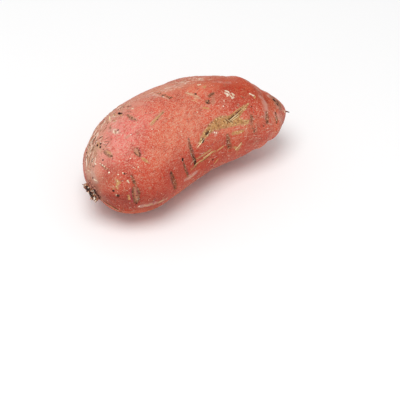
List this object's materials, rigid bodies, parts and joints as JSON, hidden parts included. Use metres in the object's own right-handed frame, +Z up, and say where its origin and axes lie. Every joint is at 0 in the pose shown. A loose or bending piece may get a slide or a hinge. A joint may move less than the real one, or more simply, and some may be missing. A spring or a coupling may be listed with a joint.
{
  "type": "sweet potato",
  "caption": "Plump, slightly bent sweet potato with a broken stalk stub at one end, a blunt tail at the other and shallow root scars, lying on a small flat spot.",
  "frame": {"origin": "centre of the overall box, on the surface that the root rests on", "axes": "+X along the root towards its tail, +Y across it towards the side that it bends to, +Z up"},
  "size_m": [0.1723, 0.0902, 0.0752],
  "materials": {
    "skin": "satin, dry mottled red-brown skin with tan corky scars"
  },
  "bodies": {
    "root": {"sweet_potato": "skin"}
  },
  "joints": []
}
